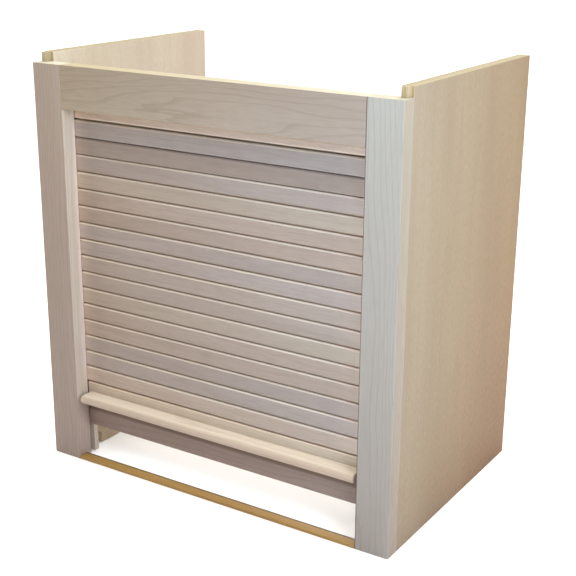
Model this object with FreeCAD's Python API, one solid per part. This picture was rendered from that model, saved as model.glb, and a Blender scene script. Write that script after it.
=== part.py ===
"""Tambour-door appliance garage: face frame, two side panels and a slatted curtain that winds into a coil.

Millimetres, +Z up, +Y towards the wall. The origin is on the countertop, in the middle of the plan.
The curtain stands a little open, as shown; closed, its lead bar comes down to the countertop.
"""
import FreeCAD
import Part
import math
import os

V = FreeCAD.Vector

# Face frame
overall_width = 444.5
frame_height = 457.2
overall_depth = 292.1
frame_thickness = 19.0
stile_width = 38.1
rail_height = 46.8
frame_edge_round = 0.8
sill_depth = 12.7
sill_thickness = 3.2
dowel_diameter = 8.0
dowel_length = 40.0
dowel_inset = 12.0
dowel_clearance = 0.1

# Side panels, tongued into the backs of the stiles
panel_thickness = 12.7
panel_rise = 10.0
tongue_thickness = 6.35
tongue_length = 8.0
tongue_clearance = 0.15

# Tambour curtain
slat_pitch = 19.05
slat_thickness = 6.35
slat_gap = 0.9
slat_chamfer = 1.3
coil_slats = 3
slat_end_in_groove = 8.0
canvas_thickness = 0.6
canvas_edge_inset = 9.0

# Lead bar, pull and guide pins
door_raised = 38.0
bar_height = 54.0
bar_thickness = 12.0
bar_end_gap = 1.0
canvas_lap = 12.2
batten_clearance = 0.2
pull_height = 9.4
pull_above_bar_foot = 32.6
pull_end_gap = 4.5
pull_setback = 0.3
finger_cove_radius = 4.0
finger_cove_sink = 2.4
pin_diameter = 4.0
pin_depth_in_bar = 12.0
pin_end_clearance = 3.5
pin_above_bar_foot = 18.0

# Tracks and coil guides
running_gap = 0.4
track_back_gap = 0.9
groove_end_clearance = 2.35
track_lip = 6.4
bend_below_rail = 14.0
coil_radius = 39.0
coil_half_turns = 4
coil_gap_outside = 0.9
coil_gap_inside = 2.6
coil_wall = 2.6
coil_rim = 4.0

# Cleats along the foot of each side panel
cleat_width = 17.5
cleat_height = 13.0
cleat_behind_track = 15.0
cleat_back_inset = 10.0

# Wood screws
screw_diameter = 4.0
screw_head_diameter = 8.0
screw_sides = 12
screw_clearance = 0.1
screw_bite = 12.0
panel_screw_bite = 8.0
batten_screw_bite = 5.0
track_screws = 3
cleat_screws = 3
bar_screws = 3
screw_end_inset = 40.0
guide_screw_inset = 8.0

# Places worked out from the sizes above
front = -overall_depth / 2
back = overall_depth / 2
half_width = overall_width / 2
half_opening = half_width - stile_width
frame_back = front + frame_thickness
rail_bottom = frame_height - rail_height
panel_inner = half_width - panel_thickness
tongue_middle = half_width - panel_thickness / 2
slat_face = frame_back + running_gap
slat_back = slat_face + slat_thickness
half_slat = half_opening + slat_end_in_groove
groove_floor = half_slat + groove_end_clearance
track_wall = slat_back + track_back_gap
track_back = track_wall + track_lip
bar_back = slat_face + bar_thickness
half_bar = half_opening - bar_end_gap
bar_top = door_raised + bar_height
pull_middle = door_raised + pull_above_bar_foot + pull_height / 2
lap_middle = bar_top - canvas_lap / 2
bend_start = rail_bottom - bend_below_rail
straight_slats = math.ceil((bend_start - bar_top) / slat_pitch)
groove_outside = slat_thickness + coil_gap_outside
turn_step = (groove_outside + coil_gap_inside + coil_wall) / 2
screw_radius = screw_diameter / 2
screw_head_radius = screw_head_diameter / 2


def block(x, y, z):
    """Box from three (low, high) pairs."""
    return Part.makeBox(x[1] - x[0], y[1] - y[0], z[1] - z[0], V(x[0], y[0], z[0]))


def mirrored(shape):
    """The same piece on the other side of the middle plane."""
    return shape.mirror(V(0, 0, 0), V(1, 0, 0))


def section(points, x):
    """Prism along X between a (low, high) pair, on a closed outline of (y, z) points."""
    corners = [V(x[0], y, z) for y, z in points]
    face = Part.Face(Part.makePolygon(corners + corners[:1]))
    return face.extrude(V(x[1] - x[0], 0, 0))


def round_edges(shape, radius, wanted):
    """Round the edges whose middle point passes the test."""
    edges = [e for e in shape.Edges if wanted(e.BoundBox.Center)]
    return shape.makeFillet(radius, edges)


def spread(low, high, count):
    """Evenly spaced places from low to high."""
    return [low + (high - low) * i / (count - 1) for i in range(count)]


def turned(steps, start, direction):
    """Piece with flat sides all round an axis, from (distance along the axis, radius) steps."""
    across = V(direction.y, direction.z, direction.x)
    turns = [FreeCAD.Rotation(direction, 360.0 * i / screw_sides) for i in range(screw_sides)]
    rings = []
    for distance, radius in steps:
        ring = [start + direction * distance + turn.multVec(across * radius) for turn in turns]
        rings.append(ring + ring[:1])
    faces = [Part.Face(Part.makePolygon(ring)) for ring in (rings[0], rings[-1])]
    for low, high in zip(rings, rings[1:]):
        for i in range(screw_sides):
            corners = [low[i], low[i + 1], high[i + 1], high[i]]
            faces.append(Part.Face(Part.makePolygon(corners + corners[:1])))
    return Part.Solid(Part.Shell(faces))


def screw(head, direction, length, gap=0.0):
    """Flat-head screw with its head's face at a point; a gap makes the hole for it instead."""
    shank = screw_radius + gap
    top = screw_head_radius + gap
    return turned([(0, top), (top - shank, shank), (length + gap, shank)], head, direction)


def screws(heads, direction, length, gap=0.0):
    """A list of like screws, or of the holes for them."""
    return [screw(head, direction, length, gap) for head in heads]


def same(value, other):
    """True for two places that coincide."""
    return abs(value - other) < 1e-6


# Path of the curtain, along the line where the canvas is glued to the slats' backs

def half_turn(index):
    """Centre (y) and radius of one half turn of the coil; the turns lie about the height of the bend."""
    radius = coil_radius - index * turn_step
    centre = slat_back + coil_radius + (turn_step if index % 2 else 0.0)
    return centre, radius


def path_point(distance):
    """Point (y, z) on the path at a distance past the start of the bend; negative is on the straight."""
    if distance <= 0:
        return slat_back, bend_start + distance
    index = 0
    centre, radius = half_turn(index)
    while distance > math.pi * radius and index < coil_half_turns - 1:
        distance -= math.pi * radius
        index += 1
        centre, radius = half_turn(index)
    angle = distance / radius
    side = -1.0 if index % 2 else 1.0
    return centre - side * radius * math.cos(angle), bend_start + side * radius * math.sin(angle)


def curtain_joints():
    """Points on the path where one slat ends and the next begins, a slat pitch apart."""
    distance = bar_top - bend_start
    joints = [path_point(distance)]
    for _ in range(straight_slats + coil_slats):
        low, high = distance, distance + 2 * slat_pitch
        for _ in range(60):
            middle = (low + high) / 2
            if math.dist(joints[-1], path_point(middle)) < slat_pitch:
                low = middle
            else:
                high = middle
        distance = low
        joints.append(path_point(distance))
    return joints


def along(start, end, run, rise):
    """Point at a run from start towards end, raised square to that line on the outer side."""
    span = math.dist(start, end)
    uy, uz = (end[0] - start[0]) / span, (end[1] - start[1]) / span
    return start[0] + uy * run - uz * rise, start[1] + uz * run + uy * rise


# Face frame

def dowel_holes(sign, gap):
    """Two dowels, or the holes for them, across one joint of rail and stile."""
    x = sign * half_opening - dowel_length / 2 - gap
    heights = (rail_bottom + dowel_inset, frame_height - dowel_inset)
    middle = front + frame_thickness / 2
    return [
        Part.makeCylinder(dowel_diameter / 2 + gap, dowel_length + 2 * gap, V(x, middle, z), V(1, 0, 0))
        for z in heights
    ]


def right_stile():
    """Upright with the groove for the panel's tongue and the holes for dowels and track screws."""
    body = block((half_opening, half_width), (front, frame_back), (0, frame_height))
    body = round_edges(body, frame_edge_round, lambda c: same(c.y, front) and same(c.z, frame_height / 2))
    half_groove = tongue_thickness / 2 + tongue_clearance
    groove = block(
        (tongue_middle - half_groove, tongue_middle + half_groove),
        (frame_back - tongue_length - tongue_clearance, frame_back),
        (0, frame_height),
    )
    return body.cut([groove] + dowel_holes(1, dowel_clearance) + track_screw_set(screw_clearance))


def top_rail():
    """Rail between the stiles, above the opening."""
    body = block((-half_opening, half_opening), (front, frame_back), (rail_bottom, frame_height))
    body = round_edges(body, frame_edge_round, lambda c: same(c.y, front) and same(c.z, rail_bottom))
    return body.cut(dowel_holes(1, dowel_clearance) + dowel_holes(-1, dowel_clearance))


def sill_strip():
    """Thin strip that ties the stiles together at the foot, flush with their faces."""
    body = block((-half_opening, half_opening), (front, front + sill_depth), (0, sill_thickness))
    return round_edges(body, frame_edge_round, lambda c: same(c.y, front) and same(c.z, sill_thickness))


# Side panels and cleats

def right_panel():
    """Veneered side, standing a little above the frame, with a tongue along its front edge."""
    top = frame_height + panel_rise
    body = block((panel_inner, half_width), (frame_back, back), (0, top))
    tongue = block(
        (tongue_middle - tongue_thickness / 2, tongue_middle + tongue_thickness / 2),
        (frame_back - tongue_length, frame_back),
        (0, top),
    )
    holes = cleat_screw_set(screw_clearance) + guide_screw_set(screw_clearance)
    return body.fuse(tongue).removeSplitter().cut(holes)


def cleat_reach():
    """Front and back (y) of a cleat."""
    return track_back + cleat_behind_track, back - cleat_back_inset


def right_cleat():
    """Strip along the foot of the panel, for fastening down to the countertop."""
    body = block((panel_inner - cleat_width, panel_inner), cleat_reach(), (0, cleat_height))
    return body.cut(cleat_screw_set(screw_clearance))


def cleat_screw_set(gap):
    """Screws through the right cleat into the panel."""
    low, high = cleat_reach()
    places = spread(low + screw_end_inset, high - screw_end_inset, cleat_screws)
    heads = [V(panel_inner - cleat_width, y, cleat_height / 2) for y in places]
    return screws(heads, V(1, 0, 0), cleat_width + panel_screw_bite, gap)


# Tracks and coil guides

def guide_foot():
    """Height of the coil guide's lower edge, where the straight track ends."""
    radius = half_turn(1)[1]
    return bend_start - radius - groove_outside - coil_rim


def right_track():
    """Straight rabbeted strip behind the stile; with the stile's back it makes the groove for the slats."""
    outline = [
        (frame_back, groove_floor),
        (frame_back, panel_inner),
        (track_back, panel_inner),
        (track_back, half_opening),
        (track_wall, half_opening),
        (track_wall, groove_floor),
    ]
    corners = [V(x, y, 0) for y, x in outline]
    body = Part.Face(Part.makePolygon(corners + corners[:1])).extrude(V(0, 0, guide_foot()))
    return body.cut(track_screw_set(screw_clearance))


def track_screw_set(gap):
    """Screws through the right track into the back of the stile."""
    x = (groove_floor + panel_inner) / 2
    heights = spread(screw_end_inset, guide_foot() - screw_end_inset, track_screws)
    heads = [V(x, track_back, z) for z in heights]
    return screws(heads, V(0, -1, 0), track_back - frame_back + screw_bite, gap)


def arc(centre, radius, side, x):
    """Half circle about a centre (y): over the top for side 1, under the bottom for side -1."""
    start = V(x, centre - side * radius, bend_start)
    middle = V(x, centre, bend_start + side * radius)
    end = V(x, centre + side * radius, bend_start)
    return Part.Arc(start, middle, end).toShape()


def coil_groove(x):
    """Spiral groove for the slats' ends, with its straight way in from below, between two X places."""
    edges = []
    for index in range(coil_half_turns):
        centre, radius = half_turn(index)
        edges.append(arc(centre, radius + groove_outside, -1 if index % 2 else 1, x[0]))
    centre, radius = half_turn(coil_half_turns - 1)
    side = -1 if coil_half_turns % 2 == 0 else 1
    outer_end = V(x[0], centre + side * (radius + groove_outside), bend_start)
    inner_end = V(x[0], centre + side * (radius - coil_gap_inside), bend_start)
    edges.append(Part.makeLine(outer_end, inner_end))
    for index in reversed(range(coil_half_turns)):
        centre, radius = half_turn(index)
        edges.append(arc(centre, radius - coil_gap_inside, -1 if index % 2 else 1, x[0]))
    foot = guide_foot()
    inner_start = V(x[0], slat_back + coil_gap_inside, bend_start)
    outer_start = V(x[0], slat_back - groove_outside, bend_start)
    inner_foot = V(x[0], inner_start.y, foot)
    outer_foot = V(x[0], outer_start.y, foot)
    edges += [
        Part.makeLine(inner_start, inner_foot),
        Part.makeLine(inner_foot, outer_foot),
        Part.makeLine(outer_foot, outer_start),
    ]
    wire = Part.Wire(Part.__sortEdges__(edges))
    return Part.Face(wire).extrude(V(x[1] - x[0], 0, 0))


def right_coil_guide():
    """Plate behind the top rail, routed with the coil groove that the open curtain winds into."""
    upper_centre, upper_radius = half_turn(0)
    lower_centre, lower_radius = half_turn(1)
    upper = upper_radius + groove_outside + coil_rim
    lower = lower_radius + groove_outside + coil_rim
    x = half_opening
    turn = math.sqrt(0.5)
    tip = V(x, lower_centre + lower, bend_start)
    lower_arc = Part.Arc(
        V(x, lower_centre, bend_start - lower),
        V(x, lower_centre + turn * lower, bend_start - turn * lower),
        tip,
    )
    upper_arc = Part.Arc(
        tip,
        V(x, upper_centre + turn * upper, bend_start + turn * upper),
        V(x, upper_centre, bend_start + upper),
    )
    foot = V(x, frame_back, bend_start - lower)
    head = V(x, frame_back, bend_start + upper)
    edges = [
        Part.makeLine(foot, V(x, lower_centre, bend_start - lower)),
        lower_arc.toShape(),
        upper_arc.toShape(),
        Part.makeLine(V(x, upper_centre, bend_start + upper), head),
        Part.makeLine(head, foot),
    ]
    plate = Part.Face(Part.Wire(edges)).extrude(V(panel_inner - half_opening, 0, 0))
    return plate.cut([coil_groove((half_opening, groove_floor))] + guide_screw_set(screw_clearance))


def guide_screw_set(gap):
    """Screws through the right coil guide into the panel: one in the coil's core, one by its lower front."""
    core = V(half_opening, (half_turn(0)[0] + half_turn(1)[0]) / 2, bend_start)
    corner_y = slat_back + coil_gap_inside + guide_screw_inset
    corner = V(half_opening, corner_y, guide_foot() + guide_screw_inset)
    length = panel_inner - half_opening + panel_screw_bite
    return screws([core, corner], V(1, 0, 0), length, gap)


# Curtain

def slat(start, end):
    """One slat between two joints of the path, with both edges of its face chamfered."""
    low, high = slat_gap / 2, slat_pitch - slat_gap / 2
    shoulder = slat_thickness - slat_chamfer
    outline = [
        (low, 0),
        (low, shoulder),
        (low + slat_chamfer, slat_thickness),
        (high - slat_chamfer, slat_thickness),
        (high, shoulder),
        (high, 0),
    ]
    points = [along(start, end, run, rise) for run, rise in outline]
    return section(points, (-half_slat, half_slat))


def canvas(joints):
    """Cloth glued to the slats' backs, its lower edge lapped into the lead bar."""
    foot = (slat_back, bar_top - canvas_lap)
    line = [foot] + joints[1:]
    inner = [along(line[0], line[1], 0, -canvas_thickness)]
    for before, here, after in zip(line, line[1:], line[2:]):
        span = math.dist(before, here)
        first = along(before, here, span, -canvas_thickness)
        second = along(here, after, 0, -canvas_thickness)
        inner.append(((first[0] + second[0]) / 2, (first[1] + second[1]) / 2))
    inner.append(along(line[-2], line[-1], math.dist(line[-2], line[-1]), -canvas_thickness))
    half = half_opening - canvas_edge_inset
    return section(line + inner[::-1], (-half, half)).cut(batten_screw_set(screw_clearance))


# Lead bar, pull and guide pins

def lead_bar():
    """Bottom bar of the curtain, rabbeted at the back of its top for the canvas and its batten."""
    body = block((-half_bar, half_bar), (slat_face, bar_back), (door_raised, bar_top - slat_gap / 2))
    body = round_edges(body, slat_chamfer, lambda c: same(c.y, slat_face) and same(c.x, 0))
    rabbet = block((-half_bar, half_bar), (slat_back, bar_back), (bar_top - canvas_lap, bar_top))
    holes = pull_screw_set(screw_clearance) + batten_screw_set(screw_clearance) + guide_pins(dowel_clearance)
    return body.cut([rabbet] + holes)


def canvas_batten():
    """Thin strip that clamps the canvas into the lead bar's rabbet."""
    body = block(
        (-half_bar, half_bar),
        (slat_back + canvas_thickness, bar_back),
        (bar_top - canvas_lap + batten_clearance, bar_top - slat_gap / 2),
    )
    return body.cut(batten_screw_set(screw_clearance))


def pull_moulding():
    """Full-width pull: flat on top, a round nose level with the face frame, a finger cove beneath."""
    half = half_opening - pull_end_gap
    nose = front + pull_setback
    low = pull_middle - pull_height / 2
    body = block((-half, half), (nose, slat_face), (low, low + pull_height))
    body = round_edges(body, 0.49 * pull_height, lambda c: same(c.y, nose) and same(c.x, 0))
    cove_y = (nose + slat_face) / 2
    cove_z = low - finger_cove_radius + finger_cove_sink
    cove = Part.makeCylinder(finger_cove_radius, 2 * half, V(-half, cove_y, cove_z), V(1, 0, 0))
    return body.cut([cove] + pull_screw_set(screw_clearance))


def pull_screw_set(gap):
    """Screws through the lead bar into the back of the pull."""
    places = spread(screw_end_inset - half_bar, half_bar - screw_end_inset, bar_screws)
    heads = [V(x, bar_back, pull_middle) for x in places]
    return screws(heads, V(0, -1, 0), bar_thickness + screw_bite, gap)


def batten_screw_set(gap):
    """Screws through the batten and the canvas into the lead bar."""
    places = spread(screw_end_inset - half_bar, half_bar - screw_end_inset, bar_screws)
    heads = [V(x, bar_back, lap_middle) for x in places]
    return screws(heads, V(0, -1, 0), bar_back - slat_back + batten_screw_bite, gap)


def guide_pins(gap):
    """Pins from the bar's ends into the grooves, which keep the bar against the frame, or their holes."""
    reach = groove_floor - pin_end_clearance - half_bar + pin_depth_in_bar
    y = (slat_face + slat_back) / 2
    z = door_raised + pin_above_bar_foot
    start = V(half_bar - pin_depth_in_bar - gap, y, z)
    pin = Part.makeCylinder(pin_diameter / 2 + gap, reach + gap, start, V(1, 0, 0))
    return [pin, mirrored(pin)]


def pair(name, shape):
    """The right-hand piece and its mirror image, by name."""
    return {"right_" + name: shape, "left_" + name: mirrored(shape)}


def both_sides(shapes):
    """Pieces of the right side with their mirror images, as one group."""
    return Part.makeCompound(shapes + [mirrored(shape) for shape in shapes])


joints = curtain_joints()
nodes = {
    **pair("stile", right_stile()),
    "top_rail": top_rail(),
    "sill_strip": sill_strip(),
    "frame_dowels": both_sides(dowel_holes(1, 0.0)),
    **pair("side_panel", right_panel()),
    **pair("cleat", right_cleat()),
    "cleat_screws": both_sides(cleat_screw_set(0.0)),
    **pair("track", right_track()),
    "track_screws": both_sides(track_screw_set(0.0)),
    **pair("coil_guide", right_coil_guide()),
    "coil_guide_screws": both_sides(guide_screw_set(0.0)),
    "canvas_backing": canvas(joints),
    "lead_bar": lead_bar(),
    "canvas_batten": canvas_batten(),
    "batten_screws": Part.makeCompound(batten_screw_set(0.0)),
    "pull_moulding": pull_moulding(),
    "pull_screws": Part.makeCompound(pull_screw_set(0.0)),
    "guide_pins": Part.makeCompound(guide_pins(0.0)),
}
for number, (start, end) in enumerate(zip(joints, joints[1:]), 1):
    nodes[f"slat_{number:02d}"] = slat(start, end)

os.makedirs("parts", exist_ok=True)
for name, shape in nodes.items():
    shape.exportStep(f"parts/{name}.step")
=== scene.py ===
"""Looks of a tambour-door appliance garage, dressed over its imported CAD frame.

Sizes are in millimetres in the CAD frame: +X to the right, +Y to the wall, +Z up.
"""
import logging
import math
from collections.abc import Callable
from dataclasses import dataclass
from enum import Enum

import bmesh
import bpy
from bmesh.types import BMesh, BMVert
from bpy.types import Material, Node, NodeSocket, NodeTree, Object
from mathutils import Matrix, Vector


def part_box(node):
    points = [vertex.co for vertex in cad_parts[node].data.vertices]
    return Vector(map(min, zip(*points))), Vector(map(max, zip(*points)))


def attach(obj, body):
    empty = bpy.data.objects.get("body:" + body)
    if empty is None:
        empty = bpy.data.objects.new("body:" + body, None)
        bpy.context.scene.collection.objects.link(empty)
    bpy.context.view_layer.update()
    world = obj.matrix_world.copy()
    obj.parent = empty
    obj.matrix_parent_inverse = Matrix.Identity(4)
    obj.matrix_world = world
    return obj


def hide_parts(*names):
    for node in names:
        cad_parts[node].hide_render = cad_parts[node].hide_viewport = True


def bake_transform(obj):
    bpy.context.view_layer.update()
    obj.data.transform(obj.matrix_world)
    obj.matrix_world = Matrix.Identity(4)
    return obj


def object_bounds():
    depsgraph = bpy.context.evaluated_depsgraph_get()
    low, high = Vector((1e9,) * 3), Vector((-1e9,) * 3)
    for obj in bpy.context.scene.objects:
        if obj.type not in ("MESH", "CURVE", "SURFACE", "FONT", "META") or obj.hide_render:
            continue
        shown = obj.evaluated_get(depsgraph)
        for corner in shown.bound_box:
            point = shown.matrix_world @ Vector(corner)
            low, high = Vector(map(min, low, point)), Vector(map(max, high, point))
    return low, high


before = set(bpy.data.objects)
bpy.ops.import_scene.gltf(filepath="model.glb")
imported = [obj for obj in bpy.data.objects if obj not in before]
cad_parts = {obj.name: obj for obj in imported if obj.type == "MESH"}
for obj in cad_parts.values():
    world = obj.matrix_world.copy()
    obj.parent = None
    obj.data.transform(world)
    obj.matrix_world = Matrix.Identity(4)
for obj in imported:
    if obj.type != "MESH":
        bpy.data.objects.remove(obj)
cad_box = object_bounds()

log = logging.getLogger("appliance_garage")

MM = 0.001
# Points closer than this are one point.
MERGE = MM / 1000
# Slack in telling, in millimetres, whether a point lies on a face.
NEAR = 0.05
# Slack in telling, in millimetres, at which end of a long face a point lies.
END_SLACK = 1.0
# Turns between faces that are shaded smooth, eased away as sharp edges, or taken as flat.
SMOOTH_BELOW = math.radians(35)
SHARP_ABOVE = math.radians(60)
FLAT_BELOW = math.radians(1)
# Edges of a copied piece that are shorter than this, in millimetres, stay sharp.
SHORTEST_EASED = 6.0
# Points on each eased corner of a section, and rings of points on each eased end of a lath.
CORNER_POINTS = 4
END_RINGS = 3
# Least round of an eased corner, in millimetres.
LEAST_ROUND = 0.02
# Half the turn, in radians, under which two sides of a section are in one line.
STRAIGHT_WITHIN = 1e-6
WOOD_IOR = 1.5
Point = tuple[float, float]
Place = tuple[float, float, float]
Links = dict[str | int, object]


def linear(colour: str) -> tuple[float, float, float, float]:
    """Turn an sRGB hex colour into linear RGBA.

    Args:
        colour: Hex value such as "#C9B79C".

    Returns:
        Linear red, green, blue and an alpha of one.
    """
    shares = [int(colour[i:i + 2], 16) / 255 for i in (1, 3, 5)]
    red, green, blue = (s / 12.92 if s <= 0.04045 else ((s + 0.055) / 1.055) ** 2.4 for s in shares)
    return red, green, blue, 1.0


def add(tree: NodeTree, kind: str, inputs: Links, **settings: object) -> Node:
    """Add a shader node, set it and feed its sockets.

    Args:
        tree: Node tree that takes the node.
        kind: Type of the node, without its ShaderNode prefix.
        inputs: Socket name or number, with the value for it or the output to link to it.
        **settings: Properties of the node.

    Returns:
        The new node.
    """
    node = tree.nodes.new("ShaderNode" + kind)
    for name, value in settings.items():
        setattr(node, name, value)
    for key, value in inputs.items():
        if isinstance(value, NodeSocket):
            tree.links.new(value, node.inputs[key])
        else:
            node.inputs[key].default_value = value
    return node


class Run(Enum):
    """Axis that a piece's length and grain follow."""

    X = 0
    Y = 1
    Z = 2

    def point(self, along: float, a: float, b: float) -> Vector:
        """Point from a place along the run and the two places across it.

        Args:
            along: Place along the run.
            a: Place on the first other axis.
            b: Place on the second other axis.

        Returns:
            The point, in metres.
        """
        across = [a, b]
        across.insert(self.value, along)
        return Vector(across) * MM


class Side(Enum):
    """Side of the part that a piece belongs to."""

    LEFT = "left"
    RIGHT = "right"


class Heads(Enum):
    """Where the heads of a set of screws lie: at their run's high end, or towards the middle of the part."""

    BACK = 0
    INNER = 1


class Lamp(Enum):
    """Kinds of studio light: broad and far, or near with a round face."""

    FAR = "SUN"
    NEAR = "AREA"


class Tone(Enum):
    """Tint of a board or an edge against its timber freshly cut."""

    FRESH = "#FFFFFF"
    GLINT = "#F4FFFB"
    IVORY = "#F8F9F2"
    CREAM = "#DCDACE"
    STRAW = "#E1E7D9"
    PEARL = "#DBDCD7"
    PALE = "#B7BAB3"
    BLUISH = "#B9C6CC"
    TAN = "#ABABAB"
    UMBER = "#AAA39C"
    SAND = "#C0C4BF"
    ROSE = "#BABAB7"
    GREY = "#B7BBBE"
    SLATE = "#B6BDC3"
    BROWN = "#D1CCC7"
    # Painted shade on the lead bar below the pull.
    HEART = "#A49B9C"
    # Painted shadow lines: on an arris, at the back of the sill, under the pull and along the lead bar's
    # foot.
    SHADOW_LINE = "#7C6C65"
    DRAB = "#B9BCBB"
    BUTTER = "#F4F0E8"
    # Painted shade on the slats' lower chamfers and gaps, and along the rail's lower arris.
    EDGE_SHADE = "#A89F92"
    SALLOW = "#E7E7E3"
    OAT = "#BBB5AF"
    AMBER = "#966B34"
    CLAY = "#EEE3E1"
    PUTTY = "#E3D8D7"
    FAWN = "#EADFD4"
    BARK = "#EDE7EC"
    KHAKI = "#FAEFDA"
    TEA = "#E7D8C9"
    BLUSH = "#CBC2BA"
    LINEN = "#CCCDC9"
    MOCHA = "#ABACAB"
    TOFFEE = "#B3A28C"
    HONEY = "#A29587"


# Gives the tone at a point, in millimetres, or None where the board has its own.
Edge = Callable[[Vector], Tone | None]


def wave_scale(spacing_mm: float) -> float:
    """Scale of a wave texture, which has bands a tenth of pi metres apart at one, for a spacing."""
    return math.pi / 10 / (spacing_mm * MM)


@dataclass(frozen=True)
class Finish:
    """A surface by name; each kind of finish says what feeds its shader."""

    name: str

    def surface(self, tree: NodeTree) -> Links:
        """Add the finish's nodes to a tree and give the shader's inputs."""
        raise NotImplementedError

    def material(self) -> Material:
        """Build the finish's material.

        Returns:
            The material.
        """
        material = bpy.data.materials.new(self.name)
        material.use_nodes = True
        tree = material.node_tree
        tree.nodes.clear()
        shader = add(tree, "BsdfPrincipled", self.surface(tree))
        add(tree, "OutputMaterial", {"Surface": shader.outputs[0]})
        return material


@dataclass(frozen=True)
class Plain(Finish):
    """One even colour."""

    colour: str
    roughness: float

    def surface(self, tree: NodeTree) -> Links:
        """Give the shader's inputs, which need no nodes."""
        return {"Base Color": linear(self.colour), "Roughness": self.roughness}


@dataclass(frozen=True)
class Timber(Finish):
    """Sawn and sanded wood: pale early wood, fine darker late-wood lines, a slow drift and short fibres.

    The rings lie about the length of the log that each board was cut from, so a board's faces show the
    figure of its own place in that log.
    """

    early: str
    late: str
    drift: str
    fibre: str
    ring_mm: float
    line_share: float
    sway_mm: float
    sway_run_mm: float
    sway_across_mm: float
    fibre_mm: float
    fibre_share: float
    roughness: float
    fibre_stretch: float = 14.0
    drift_mm: float = 55.0
    line_start: float = 0.72
    fibre_band: Point = (0.42, 0.72)
    drift_band: Point = (0.35, 0.65)
    gloss_band: Point = (0.3, 0.7)
    gloss_swing: float = 0.07
    relief: float = 0.35
    relief_mm: float = 0.2

    def surface(self, tree: NodeTree) -> Links:
        """Add the wood's nodes, which read each board's grain and tone from its mesh.

        Args:
            tree: The material's node tree.

        Returns:
            What feeds the shader's sockets.
        """
        grain = add(tree, "Attribute", {}, attribute_name="grain").outputs["Vector"]
        tone = add(tree, "Attribute", {}, attribute_name="tone").outputs["Color"]
        stretch = self.sway_across_mm / self.sway_run_mm
        slim = add(tree, "VectorMath", {0: grain, 1: (stretch, 1, 1)}, operation="MULTIPLY").outputs[0]
        scale = 1 / (self.sway_across_mm * MM)
        sway = add(tree, "TexNoise", {"Vector": slim, "Scale": scale, "Detail": 3.0})
        sweep = self.sway_mm * MM
        bend = {0: sway.outputs[1], 1: (0, sweep, sweep), 2: grain}
        moved = add(tree, "VectorMath", bend, operation="MULTIPLY_ADD")
        rings = add(
            tree, "TexWave", {"Vector": moved.outputs[0], "Scale": wave_scale(self.ring_mm)},
            wave_type="RINGS", rings_direction="X", wave_profile="SAW",
        )
        line = add(tree, "MapRange", {0: rings.outputs[1], 1: self.line_start, 4: self.line_share})
        thin = add(tree, "VectorMath", {0: grain, 1: (1 / self.fibre_stretch, 1, 1)}, operation="MULTIPLY")
        scale = 1 / (self.fibre_mm * MM)
        fibres = add(tree, "TexNoise", {"Vector": thin.outputs[0], "Scale": scale, "Detail": 2.0})
        start, end = self.fibre_band
        dash = add(tree, "MapRange", {0: fibres.outputs[0], 1: start, 2: end, 4: self.fibre_share})
        slow = add(tree, "TexNoise", {"Vector": slim, "Scale": 1 / (self.drift_mm * MM), "Detail": 2.0})
        start, end = self.drift_band
        shift = add(tree, "MapRange", {0: slow.outputs[0], 1: start, 2: end})
        colour = linear(self.early)
        for share, other in ((shift, self.drift), (line, self.late), (dash, self.fibre)):
            mix = add(tree, "Mix", {0: share.outputs[0], 6: colour, 7: linear(other)}, data_type="RGBA")
            colour = mix.outputs[2]
        tinted = add(tree, "Mix", {0: 1.0, 6: colour, 7: tone}, data_type="RGBA", blend_type="MULTIPLY")
        start, end = self.gloss_band
        low, high = self.roughness - self.gloss_swing, self.roughness + self.gloss_swing
        rough = add(tree, "MapRange", {0: fibres.outputs[0], 1: start, 2: end, 3: low, 4: high})
        depth = self.relief_mm * MM
        bump = add(tree, "Bump", {"Strength": self.relief, "Distance": depth, "Height": fibres.outputs[0]})
        return {
            "Base Color": tinted.outputs[2], "Roughness": rough.outputs[0], "Normal": bump.outputs[0],
            "IOR": WOOD_IOR,
        }


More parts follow.
